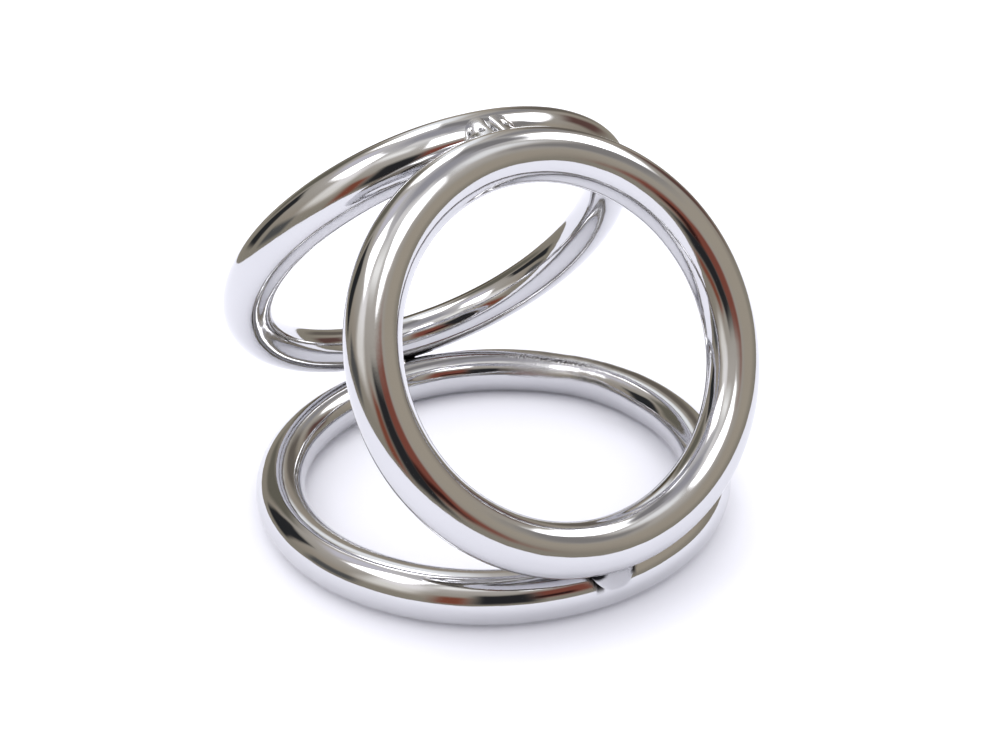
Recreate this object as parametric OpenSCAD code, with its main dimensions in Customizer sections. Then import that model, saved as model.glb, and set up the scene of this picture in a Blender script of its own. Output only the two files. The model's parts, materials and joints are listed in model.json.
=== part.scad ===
// Three rings of round bar, welded edge to edge into one rigid cluster.
// The largest ring lies flat. The front and the back ring stand on its rim, at
// opposite ends of a diameter, and lean together until their bars meet at the top.
// Each ring is a bar bent round and closed by one weld, its seam. Each place where
// two rings meet has a bead of weld in the groove on its outer and its inner side.
//
// +Z is up and +X points from the back ring's foot to the front ring's foot. The
// origin is the centre of the bottom ring, on the surface that the ring lies on.
// All three rings are centred on the plane Y = 0.

/* [Bar] */
// Diameter of the round bar
bar_d = 6.4; // [5:0.1:8]
// Gap left between two bars where a joint weld holds them
root_gap = 0.05; // [0.02:0.01:0.2]

/* [Rings] */
// Inside diameter of the bottom ring
bottom_id = 50; // [46:0.5:54]
// Inside diameter of the front ring
front_id = 39; // [36:0.5:42]
// Inside diameter of the back ring
back_id = 45; // [42:0.5:48]

/* [Stance] */
// Place of the front ring's foot on the bottom ring's bar, in degrees above level
front_seat = 72.8; // [60:0.1:85]
// Place of the back ring's foot on the bottom ring's bar, in degrees above level
back_seat = 53.6; // [45:0.1:70]
// Slope of the line from the back ring's bar to the front ring's bar at the top
top_slope = -5.1; // [-12:0.1:5]

/* [Ring seams] */
// Length of each seam along the bar
seam_length = 2; // [1:0.1:4]
// Height of a seam's crown above the bar
seam_crown = 0.1; // [0.05:0.01:0.3]
// Place of the bottom ring's seam, in degrees from the front ring's foot
bottom_seam_at = 122; // [90:1:150]
// Place of the front ring's seam, in degrees from its top
front_seam_at = 285; // [240:1:300]
// Place of the back ring's seam, in degrees from its top
back_seam_at = 194; // [192:1:240]

/* [Joint welds] */
// Length of a joint bead that is laid as one tack
bead_length = 5.5; // [3:0.1:7]
// Length of the back foot's inner bead, which is out of sight behind the front ring
back_inner_bead_length = 2.5; // [2:0.1:5]
// Shift along the groove of the back foot's inner bead
back_inner_bead_shift = -0.3; // [-1:0.1:1]
// Shift along the groove of the front foot's outer bead
front_bead_shift = -0.4; // [-1:0.1:1]
// Distance from the middle of a joint to the crown of its beads
bead_reach = 2.6; // [2.2:0.1:2.8]
// Distance from the middle of a joint to the unfused root under its beads
bead_root = 1.2; // [1:0.1:1.5]
// Length of each of the two tacks of the top joint's outer bead
tack_length = 3.8; // [2.5:0.1:4]
// Distance between the middles of those two tacks
tack_pitch = 3.6; // [2:0.1:4]
// Shift of the two tacks along the groove
tack_shift = -0.5; // [-2:0.1:2]

/* [Hidden] */

$fn = 200;
steel = [0.78, 0.78, 0.80];
weld_steel = [0.66, 0.66, 0.70];

bar_r = bar_d / 2;
pitch = bar_d + root_gap;
bottom_R = bottom_id / 2 + bar_r;
front_R = front_id / 2 + bar_r;
back_R = back_id / 2 + bar_r;

// The four places where an upright ring's bar meets another bar are points [x, z] on
// the bar's centre line. Both feet are one pitch away from the bottom ring's bar.
bottom_front = [bottom_R, bar_r];
bottom_back = [-bottom_R, bar_r];
front_foot = bottom_front + pitch * [cos(front_seat), sin(front_seat)];
back_foot = bottom_back + pitch * [-cos(back_seat), sin(back_seat)];

// The back ring's lean is the one at which both rings just reach each other at the top.
top_step = pitch * [cos(top_slope), sin(top_slope)];
span = front_foot - top_step - back_foot;
reach = norm(span);
apex = acos((pow(2 * back_R, 2) + pow(reach, 2) - pow(2 * front_R, 2)) / (4 * back_R * reach));
back_lean = atan2(span.y, span.x) + apex;
back_top = back_foot + 2 * back_R * [cos(back_lean), sin(back_lean)];
front_top = back_top + top_step;
front_rise = front_top - front_foot;
front_lean = atan2(front_rise.y, front_rise.x);

// A ring is [centre, lean of the diameter from its foot to its top, radius].
bottom = [(bottom_front + bottom_back) / 2, 0, bottom_R];
front = [(front_foot + front_top) / 2, front_lean, front_R];
back = [(back_foot + back_top) / 2, back_lean, back_R];

// A joint is [middle, direction in which its outer groove faces, its two rings].
front_foot_joint = [(bottom_front + front_foot) / 2, front_seat - 90, bottom, front];
back_foot_joint = [(bottom_back + back_foot) / 2, 270 - back_seat, bottom, back];
top_joint = [(back_top + front_top) / 2, top_slope + 90, back, front];
outer = 0;
inner = 180;

// Half of the angle that a seam takes up on its ring
function seam_half_angle(ring) = seam_length / 2 / ring[2] * 180 / PI;

// Stands the children, made about the origin, at a point [x, z], turned in the XZ plane
module stand_at(point, angle) {
    translate([point.x, 0, point.y]) rotate([0, -angle, 0]) children();
}

// The whole bar of a ring, without its seam
module closed_bar(ring) {
    stand_at(ring[0], ring[1])
        rotate_extrude() translate([ring[2], 0]) circle(bar_r);
}

// The bar of a ring, bent round until its two ends stand one seam apart
module bent_bar(ring, seam_at) {
    half = seam_half_angle(ring);
    stand_at(ring[0], ring[1]) rotate([0, 0, seam_at + half])
        rotate_extrude(angle = 360 - 2 * half) translate([ring[2], 0]) circle(bar_r);
}

// The weld between the two ends of a bar: a slice of a ball, ground down to its crown
module seam(ring, seam_at) {
    half = seam_half_angle(ring);
    crown_r = bar_r + seam_crown;
    // Radius of the ball whose surface meets the bar at both ends of the seam
    ball_r = norm([seam_length / 2, bar_r]);
    stand_at(ring[0], ring[1]) rotate([0, 0, seam_at - half]) intersection() {
        rotate_extrude(angle = 2 * half) translate([ring[2], 0]) circle(crown_r);
        rotate([0, 0, half]) translate([ring[2], 0, 0]) sphere(ball_r);
    }
}

// A barrel along Y whose side is one arc, bead_reach wide in the middle and end_r at the ends
module barrel(length, end_r) {
    sag = bead_reach - end_r;
    arc_r = (pow(length / 2, 2) + pow(sag, 2)) / (2 * sag);
    rotate([90, 0, 0]) rotate_extrude() intersection() {
        translate([bead_reach - arc_r, 0]) circle(arc_r);
        translate([0, -length / 2]) square([bead_reach, length]);
    }
}

// A bead laid in one groove of a joint, as a row of tacks that run into each other
module bead(joint, side, length, tacks = 1, spacing = 0, shift = 0) {
    // The ends of a tack stand halfway between its crown and the unfused root
    end_r = (bead_reach + bead_root) / 2;
    difference() {
        stand_at(joint[0], joint[1] + side) intersection() {
            union() {
                for (i = [0 : tacks - 1])
                    translate([0, shift + (i - (tacks - 1) / 2) * spacing, 0])
                        barrel(length, end_r);
            }
            translate([bead_root, -3 * length, -bar_r]) cube([bead_reach, 6 * length, bar_d]);
        }
        closed_bar(joint[2]);
        closed_bar(joint[3]);
    }
}

module bottom_ring() { color(steel) bent_bar(bottom, bottom_seam_at); }
module front_ring() { color(steel) bent_bar(front, front_seam_at); }
module back_ring() { color(steel) bent_bar(back, back_seam_at); }

// The bottom ring's seam is ground level where the ring rests on it
module bottom_ring_seam() {
    color(weld_steel) difference() {
        seam(bottom, bottom_seam_at);
        translate([0, 0, -bar_d]) cube([4 * bottom_R, 4 * bottom_R, 2 * bar_d], center = true);
    }
}

module front_ring_seam() { color(weld_steel) seam(front, front_seam_at); }
module back_ring_seam() { color(weld_steel) seam(back, back_seam_at); }

module front_foot_outer_bead() {
    color(weld_steel) bead(front_foot_joint, outer, bead_length, shift = front_bead_shift);
}

module front_foot_inner_bead() { color(weld_steel) bead(front_foot_joint, inner, bead_length); }
module back_foot_outer_bead() { color(weld_steel) bead(back_foot_joint, outer, bead_length); }
module back_foot_inner_bead() {
    color(weld_steel)
        bead(back_foot_joint, inner, back_inner_bead_length, shift = back_inner_bead_shift);
}

module top_outer_bead() {
    color(weld_steel)
        bead(top_joint, outer, tack_length, tacks = 2, spacing = tack_pitch, shift = tack_shift);
}

module top_inner_bead() { color(weld_steel) bead(top_joint, inner, bead_length); }

bottom_ring();
front_ring();
back_ring();
bottom_ring_seam();
front_ring_seam();
back_ring_seam();
front_foot_outer_bead();
front_foot_inner_bead();
back_foot_outer_bead();
back_foot_inner_bead();
top_outer_bead();
top_inner_bead();
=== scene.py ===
import json
import math
from collections import namedtuple

import bmesh
import bpy
import numpy as np
from mathutils import Matrix, Vector, noise

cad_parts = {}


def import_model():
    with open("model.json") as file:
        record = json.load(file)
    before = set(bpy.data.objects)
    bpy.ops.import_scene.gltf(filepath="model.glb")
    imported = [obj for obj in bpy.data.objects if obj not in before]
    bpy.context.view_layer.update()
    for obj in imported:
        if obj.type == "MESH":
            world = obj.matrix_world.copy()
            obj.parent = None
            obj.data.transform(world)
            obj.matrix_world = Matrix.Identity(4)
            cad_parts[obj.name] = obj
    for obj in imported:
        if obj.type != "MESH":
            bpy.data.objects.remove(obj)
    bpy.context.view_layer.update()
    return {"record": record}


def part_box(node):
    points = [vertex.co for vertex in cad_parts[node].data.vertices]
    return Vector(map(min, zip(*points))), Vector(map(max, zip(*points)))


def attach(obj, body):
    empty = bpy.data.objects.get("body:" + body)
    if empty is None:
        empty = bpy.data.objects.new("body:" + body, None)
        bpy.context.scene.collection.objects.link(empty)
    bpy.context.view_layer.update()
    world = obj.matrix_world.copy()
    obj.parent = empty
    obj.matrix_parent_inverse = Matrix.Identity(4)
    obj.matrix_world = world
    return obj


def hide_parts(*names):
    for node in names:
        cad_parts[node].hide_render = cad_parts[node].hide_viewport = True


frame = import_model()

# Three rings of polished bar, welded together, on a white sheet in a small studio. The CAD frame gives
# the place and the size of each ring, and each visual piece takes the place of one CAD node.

MM = 0.001
TURN = 2 * math.pi
MOUNTS = {m["name"]: m for m in frame["record"]["mounts"]}


# ---------------------------------------------------------------- the rings, read from the frame

def middle(node):
    """The middle of a CAD node's box."""
    lo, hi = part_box(node)
    return (Vector(lo) + Vector(hi)) / 2


def bar_radius():
    """The bottom ring lies flat, so its height is the bar's diameter."""
    lo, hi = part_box("bottom_ring")
    return (hi[2] - lo[2]) / 2


BAR_R = bar_radius()
SIDE = Vector((0, 1, 0))
SEAM_LENGTH = 2 * MM


class Ring:
    """A bar bent round. Angles round it run from its upper side, or +X if it lies flat, towards +Y."""

    def __init__(self, node, mount):
        self.node = node
        self.centre = Vector(mount["pos_m"])
        self.axis = Vector(mount["axis"]).normalized()
        self.up = SIDE.cross(self.axis)
        if self.up.z < 0:
            self.up = -self.up
        self.radius = mount["dims"]["r_mm"] * MM + BAR_R
        self.seam_angle = self.angle_of(middle(node + "_seam"))
        self.seam_half = SEAM_LENGTH / 2 / self.radius

    def angle_of(self, point):
        """The angle round the ring at which a point stands."""
        arm = point - self.centre
        return math.atan2(arm.dot(SIDE), arm.dot(self.up))

    def bar_at(self, end, y):
        """Where the bar's centre line crosses the plane at y, on the ring's upper (1) or lower (-1) side."""
        return self.centre + end * math.sqrt(self.radius ** 2 - y ** 2) * self.up + y * SIDE


BOTTOM = Ring("bottom_ring", MOUNTS["bottom_opening"])
FRONT = Ring("front_ring", MOUNTS["front_opening"])
BACK = Ring("back_ring", MOUNTS["back_opening"])

# A joint of two bars: each ring, and which of its ends the joint is at
Joint = namedtuple("Joint", "first first_end second second_end")
FRONT_FOOT = Joint(BOTTOM, 1, FRONT, -1)
BACK_FOOT = Joint(BOTTOM, -1, BACK, -1)
TOP = Joint(BACK, 1, FRONT, 1)

# One pass of weld: where along Y it starts, is highest and ends, and how far round each bar it reaches
Tack = namedtuple("Tack", "start crown end first_grip second_grip")
PLAIN_TACK = Tack(-2.75 * MM, 0, 2.75 * MM, math.radians(62), math.radians(62))
SMALL_TACK = Tack(-1.6 * MM, -0.5 * MM, 0.9 * MM, math.radians(48), math.radians(48))
# Small gas pits in a bead, dented and painted black as shade: place along Y, place across from the first bar
# to the second, radius, depth
Pit = namedtuple("Pit", "y across radius depth")
# An undercut at the end of a bead, painted black as shade in its hollow: place along Y, which way it opens (1
# or -1 along Y), its length along the groove, how far over the bead and how far round the bars it reaches
Notch = namedtuple("Notch", "y way length over grip")
# A joint's bead of weld. Its face is hollow (1) or flat (0) across the groove, falls away from the
# crowns of its tacks at a slope, and has lumps of a height
Bead = namedtuple("Bead", "node joint tacks hollow slope lumps pits notches")
HOLLOW, NEARLY_FLAT = 1, 0.2
LEVEL, SLOPING = 0, 0.28
FAINT, LUMPY = 0.02 * MM, 0.03 * MM
BEADS = [
    Bead("front_foot_outer_bead", FRONT_FOOT,
         [Tack(-3.7 * MM, -0.4 * MM, 2.4 * MM, math.radians(70), math.radians(66))],
         HOLLOW, LEVEL, FAINT, [],
         [Notch(-3.2 * MM, -1, 1.6 * MM, 1.6 * MM, math.radians(70)),
          Notch(2.1 * MM, 1, 1.0 * MM, 1.2 * MM, math.radians(55))]),
    Bead("front_foot_inner_bead", FRONT_FOOT, [PLAIN_TACK], HOLLOW, LEVEL, FAINT, [], []),
    Bead("back_foot_outer_bead", BACK_FOOT, [PLAIN_TACK], HOLLOW, LEVEL, FAINT, [], []),
    Bead("back_foot_inner_bead", BACK_FOOT, [SMALL_TACK], HOLLOW, LEVEL, FAINT, [],
         [Notch(0.9 * MM, 1, 4.5 * MM, 1.2 * MM, math.radians(38))]),
    Bead("top_outer_bead", TOP,
         [Tack(-4.2 * MM, -1.3 * MM, -0.3 * MM, math.radians(80), math.radians(58)),
          Tack(-0.5 * MM, 0.6 * MM, 3.3 * MM, math.radians(78), math.radians(58))],
         NEARLY_FLAT, SLOPING, LUMPY,
         [Pit(-3.1 * MM, 0.36, 0.28 * MM, 0.22 * MM), Pit(-2.0 * MM, 0.66, 0.28 * MM, 0.20 * MM),
          Pit(1.3 * MM, 0.50, 0.38 * MM, 0.28 * MM)], []),
    Bead("top_inner_bead", TOP, [PLAIN_TACK], HOLLOW, LEVEL, FAINT, [], []),
]


# ---------------------------------------------------------------- mesh helpers

# Edges sharper than this are not shaded smooth
SHARP = math.radians(60)


def grid_faces(rows, columns, closed=False):
    """The quads of a grid of points, row by row. A closed grid joins its last column to its first."""
    faces = []
    for i in range(rows - 1):
        for j in range(columns if closed else columns - 1):
            k = (j + 1) % columns
            faces.append((i * columns + j, i * columns + k, (i + 1) * columns + k, (i + 1) * columns + j))
    return faces


def new_piece(name, points, faces):
    """A smooth-shaded mesh object with its faces turned outwards and its sharp edges kept."""
    mesh = bpy.data.meshes.new(name)
    mesh.from_pydata([tuple(p) for p in points], [], faces)
    work = bmesh.new()
    work.from_mesh(mesh)
    bmesh.ops.recalc_face_normals(work, faces=work.faces)
    work.to_mesh(mesh)
    work.free()
    mesh.shade_smooth()
    mesh.set_sharp_from_angle(angle=SHARP)
    piece = bpy.data.objects.new(name, mesh)
    bpy.context.scene.collection.objects.link(piece)
    return piece


def give(piece, name, kind, values):
    """Stores a value for each point of a piece, for its material to read."""
    layer = piece.data.attributes.new(name, kind, "POINT")
    key = "vector" if kind == "FLOAT_VECTOR" else "value"
    layer.data.foreach_set(key, np.asarray(values, dtype=np.float32).ravel())


def falloff(x):
    """1 at 0, falling smoothly to 0 at 1."""
    x = np.clip(np.abs(x), 0, 1)
    return (1 - x ** 2) ** 2


# ---------------------------------------------------------------- the bars

BAR_SIDES = 80
BAR_STEPS = 600
SEAM_STEPS = 14

# Slow bends that rolling leaves in a bar: waves round the ring, turns round the bar, phase, height in mm
ROLLING = {
    "bottom_ring": [(7, 1, 0.4, 0.010), (11, -1, 2.1, 0.007), (19, 2, 4.0, 0.003)],
    "front_ring": [(6, 1, 1.3, 0.010), (13, -2, 0.2, 0.005), (17, 1, 3.3, 0.003)],
    "back_ring": [(5, -1, 2.6, 0.010), (9, 1, 5.0, 0.007), (21, -2, 1.1, 0.003)],
}
# What grinding a seam down leaves: waves of length in mm, turns round the bar, height in mm
GRINDING = [(9.0, 1, 0.030), (5.2, -1, 0.018), (2.6, 2, 0.006)]
# How far each side of a seam the bar was ground, and how heavily
GROUND_REACH = {"bottom_ring": 13 * MM, "front_ring": 6 * MM, "back_ring": 6 * MM}
GROUND_DEPTH = {"bottom_ring": 1.0, "front_ring": 0.15, "back_ring": 0.3}
# The lengths below run along the bottom bar from the middle of its seam. Its sides are angles round
# the bar, from its outward side over its top.

# Where the bottom ring's seam was ground too deep: the depth, the side of the bar, and the middle and
# half the length along the bar
Overground = namedtuple("Overground", "depth side middle reach")
OVERGROUND = [
    Overground(0.5 * MM, math.radians(200), 0, 12 * MM),
    Overground(0.28 * MM, math.radians(112), 4.5 * MM, 9 * MM),
]
# A satin patch beside the seam that was ground but not polished again
SATIN_MIDDLE = 8 * MM
SATIN_REACH = 7 * MM
SATIN_SIDE = math.radians(150)
SATIN_DEPTH = 1.2
# A line of pits left in the seam, with painted shade in them
PIT_LINE = math.radians(110)
PIT_MIDDLE = 4.5 * MM
PIT_REACH = 9 * MM
# Half of the line's width, in mm, where it is fully pitted and where the pits end
PIT_CORE, PIT_EDGE = 0.15, 0.55

# An undercut's painted black shade reaches at least this far round a bar, and fades over an angle
NOTCH_ROOT = math.radians(22)
NOTCH_EDGE = math.radians(14)
# The part of an undercut's length that runs back beside the bead
NOTCH_BEHIND = 0.5
# How far an undercut reaches round a joint's first bar, as a part of its reach round the second
NOTCH_LOW_SIDE = 0.9


def from_seam(ring, angle):
    """The distance along the bar from the middle of its seam."""
    return ((angle - ring.seam_angle + math.pi) % TURN - math.pi) * ring.radius


def surface_height(ring, angle, around):
    """How far the bar's surface stands off a true torus, from rolling and from grinding its seam."""
    height = 0
    for waves, turns, phase, size in ROLLING[ring.node]:
        height = height + size * MM * np.sin(waves * angle + turns * around + phase)
    along = from_seam(ring, angle)
    window = falloff(along / GROUND_REACH[ring.node]) * GROUND_DEPTH[ring.node]
    for length, turns, size in GRINDING:
        height = height + window * size * MM * np.sin(along / MM * TURN / length + turns * around)
    if ring is BOTTOM:
        for cut in OVERGROUND:
            facing = np.clip(np.cos(around - cut.side), 0, 1) ** 2
            height = height - cut.depth * falloff((along - cut.middle) / cut.reach) * facing
    return height


def painted_shade_on_bar(ring, points):
    """How much painted black shade each point of a bar has, in the undercuts beside the weld beads."""
    painted_shade = np.zeros(len(points))
    for bead in BEADS:
        if ring not in (bead.joint.first, bead.joint.second):
            continue
        first = np.array(bead.joint.first.bar_at(bead.joint.first_end, 0))
        second = np.array(bead.joint.second.bar_at(bead.joint.second_end, 0))
        line = (second - first) * (1 if ring is bead.joint.first else -1)
        arm = points - bar_points_at(ring, bead, points)
        grip = np.arctan2(arm @ groove_direction(bead), arm @ line / np.linalg.norm(line))
        for notch in bead.notches:
            along = (points[:, 1] - notch.y) * notch.way / notch.length
            reach = notch.grip * (NOTCH_LOW_SIDE if ring is bead.joint.first else 1)
            taper = NOTCH_ROOT + (reach - NOTCH_ROOT) * np.clip(1 - along, 0, 1) ** 2
            depth = np.clip((taper - grip) / NOTCH_EDGE, 0, 1) * (grip > 0)
            painted_shade = np.maximum(painted_shade, depth * (along > -NOTCH_BEHIND) * (along < 1))
    return painted_shade


def bar_points_at(ring, bead, points):
    """For each point, the bar's centre line beside it, on the joint's side of the ring."""
    end = bead.joint.first_end if ring is bead.joint.first else bead.joint.second_end
    y = np.clip(points[:, 1], -ring.radius, ring.radius)
    up = end * np.sqrt(ring.radius ** 2 - y ** 2)
    centre = np.array(ring.centre) + up[:, None] * np.array(ring.up)
    centre[:, 1] = points[:, 1]
    return centre


def groove_direction(bead):
    """Which way the groove that holds a bead faces, square to the line between the two bars."""
    first = bead.joint.first.bar_at(bead.joint.first_end, 0)
    second = bead.joint.second.bar_at(bead.joint.second_end, 0)
    line = (second - first).normalized()
    facing = middle(bead.node) - (first + second) / 2
    facing.y = 0
    facing = facing - facing.dot(line) * line
    return np.array(facing.normalized())


def store_finish(piece, ring, angle, around, points):
    """Stores what the bar's material needs to know of each point."""
    size = (*np.broadcast_shapes(angle.shape, around.shape)[:2], 1)
    along = from_seam(ring, angle)
    place = [angle * ring.radius, BAR_R * np.cos(around), BAR_R * np.sin(around)]
    place = np.concatenate([np.broadcast_to(part, size) for part in place], axis=2)
    grinding = falloff(along / GROUND_REACH[ring.node]) * GROUND_DEPTH[ring.node]
    pitting = falloff((along - PIT_MIDDLE) / PIT_REACH) * (ring is BOTTOM)
    if ring is BOTTOM:
        patch = falloff((along - SATIN_MIDDLE) / SATIN_REACH)
        grinding = grinding + SATIN_DEPTH * patch * np.clip(np.cos(around - SATIN_SIDE), 0, 1)
    give(piece, "bar_place", "FLOAT_VECTOR", place / MM)
    give(piece, "grinding", "FLOAT", np.broadcast_to(grinding, size))
    give(piece, "off_pit_line", "FLOAT", np.broadcast_to((around - PIT_LINE) * BAR_R / MM, size))
    give(piece, "pitting", "FLOAT", np.broadcast_to(pitting, size))
    # The undercuts beside the beads are painted black as shade
    give(piece, "painted_shade", "FLOAT", painted_shade_on_bar(ring, points))


def bar_piece(name, ring, start, end, steps):
    """A closed length of a ring's bar, from one angle round the ring to another."""
    angle = np.linspace(start, end, steps + 1)[:, None, None]
    around = np.linspace(0, TURN, BAR_SIDES, endpoint=False)[None, :, None]
    up, side, axis = (np.array(v) for v in (ring.up, SIDE, ring.axis))
    outward = np.cos(angle) * up + np.sin(angle) * side
    centre = np.array(ring.centre) + ring.radius * outward
    reach = BAR_R + surface_height(ring, angle, around)
    points = centre + reach * (np.cos(around) * outward + np.sin(around) * axis)
    points = points.reshape(-1, 3)
    faces = grid_faces(steps + 1, BAR_SIDES, closed=True)
    faces += [tuple(range(BAR_SIDES)), tuple(steps * BAR_SIDES + j for j in range(BAR_SIDES))]
    piece = new_piece(name, points, faces)
    store_finish(piece, ring, angle, around, points)
    return piece


# ---------------------------------------------------------------- the weld beads

BEAD_STEPS = 110
BEAD_ACROSS = 44
# How far round the bars a bead reaches at its ends
ROOT_GRIP = math.radians(15)
# The back of a bead, deep in the groove
BACK_GRIP = math.radians(6)
BACK_DEPTH = 0.2 * MM
# How far a bead's edges are sunk into the bars
EDGE_SINK = 0.03 * MM
RIPPLE = 0.006 * MM
RIPPLE_LENGTH = 1.3 * MM
# How far the ripples lag in the middle of a bead, as a part of their length
RIPPLE_BOW = 0.3
LUMP_LENGTH = 2.2 * MM
LUMPS_ACROSS = 1.6
CROWN_ROUND = 0.5 * MM
# The rim of a pit, as a part of its radius
PIT_RIM = 1.6
# An undercut reaches less far over a bead below this part of its width, and fades over a length
OVER_LOW_SIDE = 0.2
OVER_WIDE = 0.6
OVER_EDGE = 0.4 * MM


def tack_grips(tacks, y):
    """How far round the two bars the weld reaches at y."""
    first = second = ROOT_GRIP
    for tack in tacks:
        t = (y - tack.crown) / ((tack.end if y > tack.crown else tack.start) - tack.crown)
        if t < 1:
            rise = 1 - t ** 3
            first = max(first, ROOT_GRIP + (tack.first_grip - ROOT_GRIP) * rise)
            second = max(second, ROOT_GRIP + (tack.second_grip - ROOT_GRIP) * rise)
    return first, second


def fillet(a, b, facing, grips, hollow, t):
    """A point on a curve from bar a to bar b. A fully hollow one runs along both surfaces at its ends."""
    line = (b - a).normalized()
    out = (facing - facing.dot(line) * line).normalized()
    reach = BAR_R - EDGE_SINK
    start = a + reach * (math.cos(grips[0]) * line + math.sin(grips[0]) * out)
    stop = b + reach * (-math.cos(grips[1]) * line + math.sin(grips[1]) * out)
    pull = hollow * (stop - start).length
    leave = pull * (math.sin(grips[0]) * line - math.cos(grips[0]) * out)
    arrive = pull * (math.sin(grips[1]) * line + math.cos(grips[1]) * out)
    blend = hollow * (3 * t ** 2 - 2 * t ** 3) + (1 - hollow) * t
    return (1 - blend) * start + (t ** 3 - 2 * t ** 2 + t) * leave + blend * stop + (t ** 3 - t ** 2) * arrive


def off_pit(pit, y, t):
    """How far a point of a bead is from the middle of a pit, in radii of the pit."""
    return math.hypot(y - pit.y, (t - pit.across) * BAR_R) / pit.radius


def bead_height(bead, y, t):
    """How far a bead's face stands off its plain curve: ripples, lumps, its slope and pits."""
    belly = math.sin(math.pi * t) ** 2
    height = RIPPLE * math.sin(TURN * (y / RIPPLE_LENGTH + RIPPLE_BOW * belly))
    height += bead.lumps * noise.noise(Vector((y / LUMP_LENGTH, LUMPS_ACROSS * t, len(bead.pits))))
    off_crown = min(abs(y - tack.crown) for tack in bead.tacks)
    height -= bead.slope * (math.hypot(off_crown, CROWN_ROUND) - CROWN_ROUND)
    height *= belly
    for pit in bead.pits:
        height -= pit.depth * float(falloff(off_pit(pit, y, t) / PIT_RIM))
    return height


def bead_painted_shade(bead, y, t, low, high):
    """How black a bead is painted as shade, in its pits and where an undercut reaches over its end."""
    painted_shade = 0.0
    for pit in bead.pits:
        painted_shade = max(painted_shade, float(falloff(off_pit(pit, y, t))))
    for notch in bead.notches:
        inside = (high - y) if notch.way > 0 else (y - low)
        reach = notch.over * (OVER_LOW_SIDE + (1 - OVER_LOW_SIDE) * min(1.0, t / OVER_WIDE))
        painted_shade = max(painted_shade, min(1.0, max(0.0, (reach - inside) / OVER_EDGE)))
    return painted_shade


def bead_piece(bead):
    """A closed weld bead in the groove of a joint."""
    facing = Vector(groove_direction(bead))
    low = min(tack.start for tack in bead.tacks)
    high = max(tack.end for tack in bead.tacks)
    face, back, painted_shade = [], [], []
    for i in range(BEAD_STEPS + 1):
        y = low + (high - low) * (0.5 - 0.5 * math.cos(math.pi * i / BEAD_STEPS))
        a = bead.joint.first.bar_at(bead.joint.first_end, y)
        b = bead.joint.second.bar_at(bead.joint.second_end, y)
        grips = tack_grips(bead.tacks, y)
        for j in range(BEAD_ACROSS + 1):
            t = j / BEAD_ACROSS
            point = fillet(a, b, facing, grips, bead.hollow, t)
            face.append(point + facing * bead_height(bead, y, t))
            back.append(fillet(a, b, facing, (BACK_GRIP, BACK_GRIP), HOLLOW, t) - facing * BACK_DEPTH)
            painted_shade.append(bead_painted_shade(bead, y, t, low, high))
    rows, columns = BEAD_STEPS + 1, BEAD_ACROSS + 1
    shift = rows * columns
    faces = grid_faces(rows, columns)
    faces += [tuple(shift + k for k in reversed(f)) for f in faces]
    # The rim of the face, joined all round to the rim of the back
    rim = ([(0, j) for j in range(columns)] + [(i, columns - 1) for i in range(1, rows)]
           + [(rows - 1, j) for j in range(columns - 2, -1, -1)] + [(i, 0) for i in range(rows - 2, 0, -1)])
    rim = [i * columns + j for i, j in rim]
    faces += [(rim[k - 1], rim[k], shift + rim[k], shift + rim[k - 1]) for k in range(len(rim))]
    piece = new_piece(bead.node + "_weld", face + back, faces)
    # The back of the bead, deep in the groove, is painted fully black as shade
    give(piece, "painted_shade", "FLOAT", painted_shade + [1.0] * len(back))
    return piece


# ---------------------------------------------------------------- materials

METAL = (0.60, 0.60, 0.618)
# Black painted on as shade in the undercuts, in the pits and on the back of the beads
PAINTED_SHADE = (0.012, 0.012, 0.014)

# Layers of bump: strength and height
BUFFING_BUMP = (0.12, 0.02 * MM)
SWELL_BUMP = (0.10, 0.25 * MM)
GRAIN_BUMP = (0.35, 0.06 * MM)
CRATER_BUMP = (0.9, -0.18 * MM)
WELD_SKIN_BUMP = (0.12, 0.03 * MM)
WELD_MOTTLE_BUMP = (0.15, 0.08 * MM)
PAPER_BUMP = (0.1, 0.02 * MM)
# Layers of noise: features per mm of bar, or per metre of weld and paper, and detail
SMEARS, BUFFING, SWELL = (0.35, 3), (4.0, 3), (0.28, 1)
GRAIN, CRATERS, BAR_TINT = (3.6, 4), (2.8, 2), (0.12, 2)
WELD_SKIN, WELD_MOTTLE = (2600, 2), (900, 3)
PAPER_FIBRE, PAPER_TINT, PAPER_GLOSS = (4000, 2), (9, 3), (30, 2)
# Buffing lines are drawn out along the bar
ALONG_BAR = (0.06, 1, 1)
# How much rougher smears, craters and the places painted black as shade make a surface
SMEAR_HAZE, CRATER_HAZE, BAR_PAINTED_SHADE_HAZE, WELD_PAINTED_SHADE_HAZE = 1.7, 0.3, 0.5, 0.4
# How far the pits of the seam are painted towards black, as shade in them
CRATER_PAINTED_SHADE = 0.85


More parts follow.
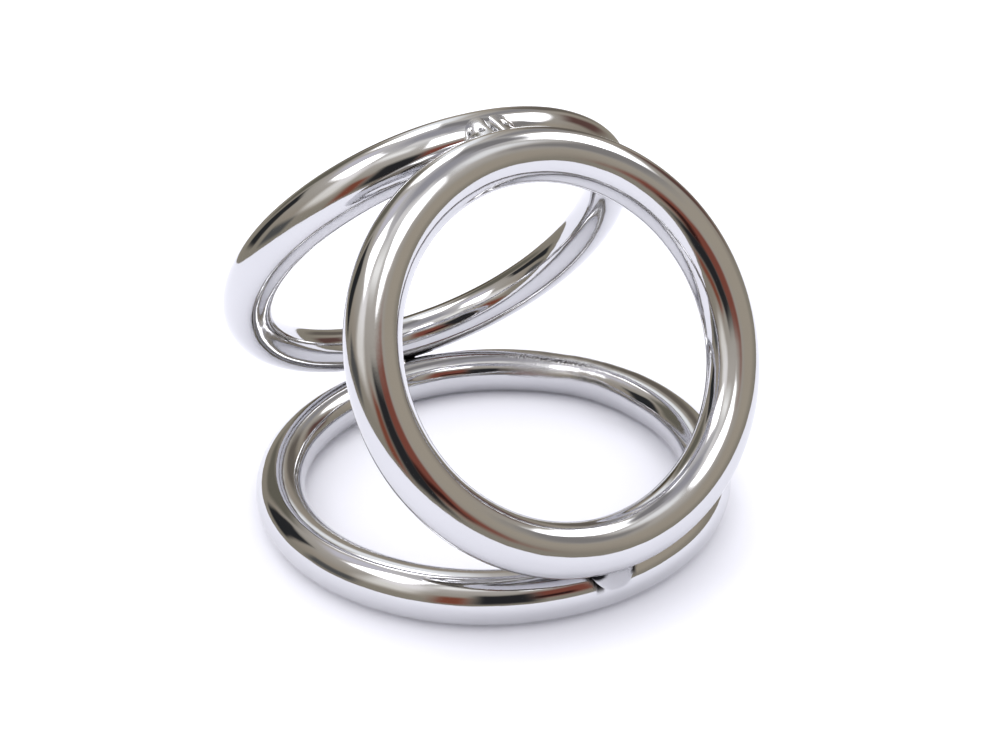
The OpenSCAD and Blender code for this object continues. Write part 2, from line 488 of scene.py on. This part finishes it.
class Graph:
    """A node tree, built up node by node."""

    def __init__(self, tree):
        self.nodes, self.links = tree.nodes, tree.links

    def feed(self, socket, value):
        """Gives a socket a value, or joins it to the output that the value comes from."""
        if isinstance(value, bpy.types.NodeSocket):
            self.links.new(value, socket)
        else:
            socket.default_value = value

    def node(self, kind, settings=None, **inputs):
        """A new node, with its settings and its inputs."""
        node = self.nodes.new("ShaderNode" + kind)
        for key, value in (settings or {}).items():
            setattr(node, key, value)
        for key, value in inputs.items():
            self.feed(node.inputs[key.replace("_", " ")], value)
        return node

    def math(self, operation, *values):
        node = self.node("Math", {"operation": operation})
        for socket, value in zip(node.inputs, values):
            self.feed(socket, value)
        return node.outputs[0]

    def spread(self, value, low, high, to_low, to_high, curve="LINEAR"):
        """A value taken from one range to another."""
        node = self.node("MapRange", {"interpolation_type": curve}, Value=value, From_Min=low,
                         From_Max=high, To_Min=to_low, To_Max=to_high)
        return node.outputs[0]

    def mix(self, amount, first, second):
        """A colour between two colours."""
        node = self.node("Mix", {"data_type": "RGBA"}, Factor=amount)
        for key, colour in (("A", first), ("B", second)):
            is_output = isinstance(colour, bpy.types.NodeSocket)
            self.feed(node.inputs[key], colour if is_output else (*colour, 1))
        return node.outputs["Result"]


class Finish(Graph):
    """A material of polished metal, which can be made into others."""

    def __init__(self, name):
        self.material = bpy.data.materials.new(name)
        self.material.use_nodes = True
        super().__init__(self.material.node_tree)
        self.shader = self.nodes["Principled BSDF"]
        self.normal = None

    def stored(self, name, output="Fac"):
        """A value that the mesh stores for each of its points."""
        return self.node("Attribute", {"attribute_name": name}).outputs[output]

    def noise(self, place, scale, detail, stretch=(1, 1, 1)):
        mapping = self.node("Mapping", Vector=place, Scale=stretch)
        return self.node("TexNoise", Vector=mapping.outputs[0], Scale=scale, Detail=detail).outputs["Fac"]

    def bump(self, height, strength, distance):
        """Adds a layer of bump on top of those before it."""
        node = self.node("Bump", Height=height, Distance=distance, Strength=strength)
        if self.normal:
            self.links.new(self.normal, node.inputs["Normal"])
        self.normal = node.outputs[0]

    def finish(self, colour, roughness, metallic=1):
        self.shader.inputs["Metallic"].default_value = metallic
        self.links.new(colour, self.shader.inputs["Base Color"])
        self.links.new(roughness, self.shader.inputs["Roughness"])
        self.links.new(self.normal, self.shader.inputs["Normal"])
        return self.material


def shade(colour, amount):
    return [c * amount for c in colour]


def bar_finish(name, gloss, haze):
    """Mirror-polished bar: buffing lines, faint smears, and grinding marks and pits near the seam."""
    f = Finish(name)
    place = f.stored("bar_place", "Vector")
    grinding, pitting, painted_shade = (f.stored(each) for each in ("grinding", "pitting", "painted_shade"))
    off_line = f.math("ABSOLUTE", f.stored("off_pit_line"))
    smears = f.spread(f.noise(place, *SMEARS), 0.4, 0.75, gloss, gloss * SMEAR_HAZE)
    craters = f.spread(f.noise(place, *CRATERS), 0.47, 0.55, 0, 1)
    craters = f.math("MULTIPLY", craters, f.spread(off_line, PIT_CORE, PIT_EDGE, 1, 0))
    craters = f.math("MULTIPLY", craters, pitting)
    roughness = f.math("ADD", smears, f.math("MULTIPLY", grinding, haze))
    roughness = f.math("ADD", roughness, f.math("MULTIPLY", craters, CRATER_HAZE))
    roughness = f.math("ADD", roughness, f.math("MULTIPLY", painted_shade, BAR_PAINTED_SHADE_HAZE))
    f.bump(f.noise(place, *BUFFING, ALONG_BAR), *BUFFING_BUMP)
    f.bump(f.noise(place, *SWELL), *SWELL_BUMP)
    f.bump(f.math("MULTIPLY", f.noise(place, *GRAIN), grinding), *GRAIN_BUMP)
    f.bump(craters, *CRATER_BUMP)
    tint = f.mix(f.noise(place, *BAR_TINT), shade(METAL, 0.97), shade(METAL, 1.03))
    # The pits and the undercuts are painted black as shade
    painted_dark = f.math("MAXIMUM", painted_shade, f.math("MULTIPLY", craters, CRATER_PAINTED_SHADE))
    return f.finish(f.mix(painted_dark, tint, PAINTED_SHADE), roughness)


def bead_finish(name):
    """Weld metal that the polishing wheel only partly reached: softer, mottled and finely pitted."""
    f = Finish(name)
    place = f.node("TexCoord").outputs["Object"]
    painted_shade = f.stored("painted_shade")
    mottle = f.noise(place, *WELD_MOTTLE)
    roughness = f.spread(mottle, 0.35, 0.7, 0.13, 0.24)
    roughness = f.math("ADD", roughness, f.math("MULTIPLY", painted_shade, WELD_PAINTED_SHADE_HAZE))
    f.bump(f.noise(place, *WELD_SKIN), *WELD_SKIN_BUMP)
    f.bump(mottle, *WELD_MOTTLE_BUMP)
    tint = f.mix(mottle, shade(METAL, 0.90), METAL)
    # Pits, undercut ends and the bead's back are painted black as shade
    return f.finish(f.mix(painted_shade, tint, PAINTED_SHADE), roughness)


def sheet_finish():
    """White paper with a faint unevenness."""
    f = Finish("white_sheet")
    place = f.node("TexCoord").outputs["Object"]
    colour = f.mix(f.noise(place, *PAPER_TINT), (0.87, 0.865, 0.925), (0.91, 0.90, 0.95))
    f.bump(f.noise(place, *PAPER_FIBRE), *PAPER_BUMP)
    f.shader.inputs["Specular IOR Level"].default_value = 0.1
    return f.finish(colour, f.spread(f.noise(place, *PAPER_GLOSS), 0, 1, 0.85, 0.95), metallic=0)


# ---------------------------------------------------------------- the studio

# A soft-edged patch of the surroundings, placed in degrees as seen from the studio's middle
Card = namedtuple("Card", "name azimuth elevation half_width half_height edge colour")
LAMP = (6.0, 6.0, 6.1)
# The surroundings stand on a dome of this radius, whose middle is this high over the floor
STUDIO_RADIUS = 0.25
STUDIO_MIDDLE = 0.05


def seen(red, green, blue):
    """How bright a card has to be, for the polished metal to show it as this red, green and blue of 255."""
    def linear(c):
        c /= 255
        return c / 12.92 if c <= 0.04045 else ((c + 0.055) / 1.055) ** 2.4
    return tuple(linear(c) / m for c, m in zip((red, green, blue), METAL))


# How bright the room is between the cards, by elevation
ROOM = [(-15, seen(125, 120, 110)), (0, seen(128, 122, 112)), (15, seen(140, 132, 122)),
        (30, seen(150, 145, 138)), (45, seen(165, 160, 155)), (60, seen(182, 180, 178)),
        (72, seen(165, 163, 166)), (80, seen(142, 141, 147)), (90, seen(139, 138, 146))]

# Later cards cover earlier ones
CARDS = [
    Card("pale wall", -76, 27, 13, 14, 8, seen(205, 202, 198)),
    Card("left glow", -75, 40, 12, 10, 8, seen(216, 213, 214)),
    Card("left sky", -140, 52, 14, 10, 6, seen(182, 180, 190)),
    Card("olive wall", -168, 19, 14, 14, 5, seen(92, 89, 80)),
    Card("front wall", 50, 14, 24, 14, 8, seen(148, 140, 128)),
    Card("front shade", 54, 38, 18, 8, 5, seen(120, 117, 116)),
    Card("front bounce", 44, 60, 14, 8, 6, seen(216, 216, 218)),
    Card("pale ceiling", -20, 70, 34, 6, 6, seen(205, 203, 203)),
    Card("lamp glow", -46, 55, 18, 5, 6, seen(230, 229, 228)),
    Card("dark ceiling", 122, 68, 38, 9, 6, seen(118, 116, 118)),
    Card("right shade", 134, 42, 8, 14, 5, seen(128, 126, 128)),
    Card("right wall", 138, 12, 9, 14, 5, seen(92, 86, 80)),
    Card("curtain", 164, 36, 9, 14, 5, seen(222, 224, 228)),
    Card("back lamp", 179, 53, 14, 10, 5, LAMP),
    Card("left lamp", -99, 53, 19, 9.5, 5, LAMP),
    Card("front lamp", 5, 53, 16, 11, 5, LAMP),
    Card("right lamp", 93, 46, 22, 11, 5, LAMP),
    Card("doorway", -137, 12, 11, 15, 3, seen(36, 37, 39)),
    Card("low shelf", -100, 1, 13, 7, 4, seen(74, 74, 74)),
    Card("left brown flag", -46, 6, 7, 13, 5, seen(112, 64, 50)),
    Card("right brown flag", 1, 18, 14, 14, 6, seen(112, 64, 54)),
    Card("black flag", -24, 12, 13, 17, 5, seen(36, 36, 38)),
    Card("dark fold", -4, 10, 9, 4, 3, seen(44, 24, 22)),
    Card("cabinet", 104, 13, 12, 12, 6, seen(84, 62, 58)),
    Card("low corner", 168, 4, 7, 8, 3, seen(68, 62, 50)),
]


def surroundings():
    """A glowing material that shows the room and its cards, by direction from the studio's middle."""
    material = bpy.data.materials.new("surroundings")
    material.use_nodes = True
    g = Graph(material.node_tree)
    g.nodes.clear()

    place = g.node("TexCoord").outputs["Object"]
    direction = g.node("VectorMath", {"operation": "NORMALIZE"}, Vector=place)
    split = g.node("SeparateXYZ", Vector=direction.outputs[0])
    azimuth = g.math("ARCTAN2", split.outputs["Y"], split.outputs["X"])
    elevation = g.math("ARCSINE", split.outputs["Z"])

    ramp = g.node("ValToRGB", Fac=g.math("MULTIPLY_ADD", elevation, 1 / math.pi, 0.5))
    stops = ramp.color_ramp.elements
    while len(stops) < len(ROOM):
        stops.new(1.0)
    for stop, (degrees, colour) in zip(stops, ROOM):
        stop.position = (degrees + 90) / 180
        stop.color = (*colour, 1)
    room = ramp.outputs["Color"]

    def inside(distance, half, edge):
        """1 well within half a card's size of its middle, 0 well outside, with a soft edge."""
        low, high = math.radians(half - edge), math.radians(half + edge)
        return g.spread(distance, low, high, 1, 0, "SMOOTHSTEP")

    for card in CARDS:
        turn = g.math("SUBTRACT", azimuth, math.radians(card.azimuth))
        turn = g.math("ABSOLUTE", g.math("WRAP", turn, math.pi, -math.pi))
        rise = g.math("ABSOLUTE", g.math("SUBTRACT", elevation, math.radians(card.elevation)))
        cover = g.math("MULTIPLY", inside(turn, card.half_width, card.edge),
                       inside(rise, card.half_height, card.edge))
        room = g.mix(cover, room, card.colour)

    glow = g.node("Emission", Color=room)
    g.node("OutputMaterial", Surface=glow.outputs[0])
    return material


DOME_ROWS = 24
DOME_COLUMNS = 64


def dome():
    """The near surroundings, as a dome down to the floor that shows only in reflections."""
    floor_edge = math.asin(-STUDIO_MIDDLE / STUDIO_RADIUS)
    points = []
    for i in range(DOME_ROWS):
        rise = floor_edge + (math.pi / 2 - floor_edge) * i / DOME_ROWS
        for j in range(DOME_COLUMNS):
            turn = TURN * j / DOME_COLUMNS
            points.append(STUDIO_RADIUS * Vector(
                (math.cos(rise) * math.cos(turn), math.cos(rise) * math.sin(turn), math.sin(rise))))
    faces = grid_faces(DOME_ROWS, DOME_COLUMNS, closed=True)
    last = (DOME_ROWS - 1) * DOME_COLUMNS
    points.append(Vector((0, 0, STUDIO_RADIUS)))
    faces += [(last + j, last + (j + 1) % DOME_COLUMNS, len(points) - 1) for j in range(DOME_COLUMNS)]
    piece = new_piece("studio_dome", points, faces)
    piece.location.z = STUDIO_MIDDLE
    piece.data.materials.append(surroundings())
    piece.visible_camera = False
    piece.visible_diffuse = False
    piece.visible_shadow = False


FLOOR_RADIUS = 6.0
FLOOR_COLUMNS = 96


def floor():
    """A white sheet under the object."""
    points = [Vector((FLOOR_RADIUS * math.cos(a), FLOOR_RADIUS * math.sin(a), 0))
              for a in np.linspace(0, TURN, FLOOR_COLUMNS, endpoint=False)]
    piece = new_piece("floor", points, [tuple(range(FLOOR_COLUMNS))])
    piece.data.materials.append(sheet_finish())


# Where most of the soft light comes from, and how strong it is on the far and on the near side
SKY_SIDE = Vector((-0.66, -0.26, 0.70))
SKY_DIM, SKY_BRIGHT = 0.93, 1.77
SKY_COLOUR = (0.97, 0.98, 1.0, 1)


def world():
    """Soft light on the floor from all round, more of it from the back left. The metal doesn't mirror it."""
    sky = bpy.data.worlds.new("sky")
    bpy.context.scene.world = sky
    sky.use_nodes = True
    g = Graph(sky.node_tree)
    place = g.node("TexCoord").outputs["Generated"]
    facing = g.node("VectorMath", {"operation": "DOT_PRODUCT"}, Vector=place)
    facing.inputs[1].default_value = SKY_SIDE
    background = g.nodes["Background"]
    background.inputs["Color"].default_value = SKY_COLOUR
    strength = g.spread(facing.outputs["Value"], -1, 1, SKY_DIM, SKY_BRIGHT)
    g.links.new(strength, background.inputs["Strength"])
    sky.cycles_visibility.glossy = False


# The photograph's viewing angle: where the camera is and its own three directions
CAMERA_PLACE = Vector((0.131559, -0.068043, 0.095235))
CAMERA_RIGHT = Vector((0.47724, 0.87848, -0.02281))
CAMERA_UP = Vector((-0.40055, 0.24056, 0.88413))
CAMERA_BACK = Vector((0.78218, -0.4128, 0.46668))
# The lens, the width of the sensor and the nearest and farthest things in view
CAMERA_LENS, CAMERA_SENSOR = 46.75, 36
CAMERA_NEAR, CAMERA_FAR = 0.01, 50


def camera():
    """Looks down on the object from its front right."""
    data = bpy.data.cameras.new("camera")
    data.lens, data.sensor_width = CAMERA_LENS, CAMERA_SENSOR
    data.clip_start, data.clip_end = CAMERA_NEAR, CAMERA_FAR
    eye = bpy.data.objects.new("camera", data)
    bpy.context.scene.collection.objects.link(eye)
    turn = Matrix((CAMERA_RIGHT, CAMERA_UP, CAMERA_BACK)).transposed().to_4x4()
    eye.matrix_world = Matrix.Translation(CAMERA_PLACE) @ turn
    bpy.context.scene.camera = eye


# ---------------------------------------------------------------- put together

def put(piece, node, material):
    """Puts a visual piece in the place of a CAD node."""
    piece.data.materials.append(material)
    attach(piece, "root")
    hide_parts(node)


# How rough the bar and the seams are, and how much rougher where they were ground
POLISHED = bar_finish("polished_bar", gloss=0.055, haze=0.10)
GROUND = bar_finish("ground_seam", gloss=0.060, haze=0.14)
WELD = bead_finish("weld_bead")

for ring in (BOTTOM, FRONT, BACK):
    low, high = ring.seam_angle - ring.seam_half, ring.seam_angle + ring.seam_half
    bar = bar_piece(ring.node + "_bar", ring, high, low + TURN, BAR_STEPS)
    put(bar, ring.node, POLISHED)
    seam = bar_piece(ring.node + "_seam_weld", ring, low, high, SEAM_STEPS)
    put(seam, ring.node + "_seam", GROUND)

for bead in BEADS:
    put(bead_piece(bead), bead.node, WELD)

dome()
floor()
world()
camera()
bpy.context.scene.view_settings.view_transform = "Standard"
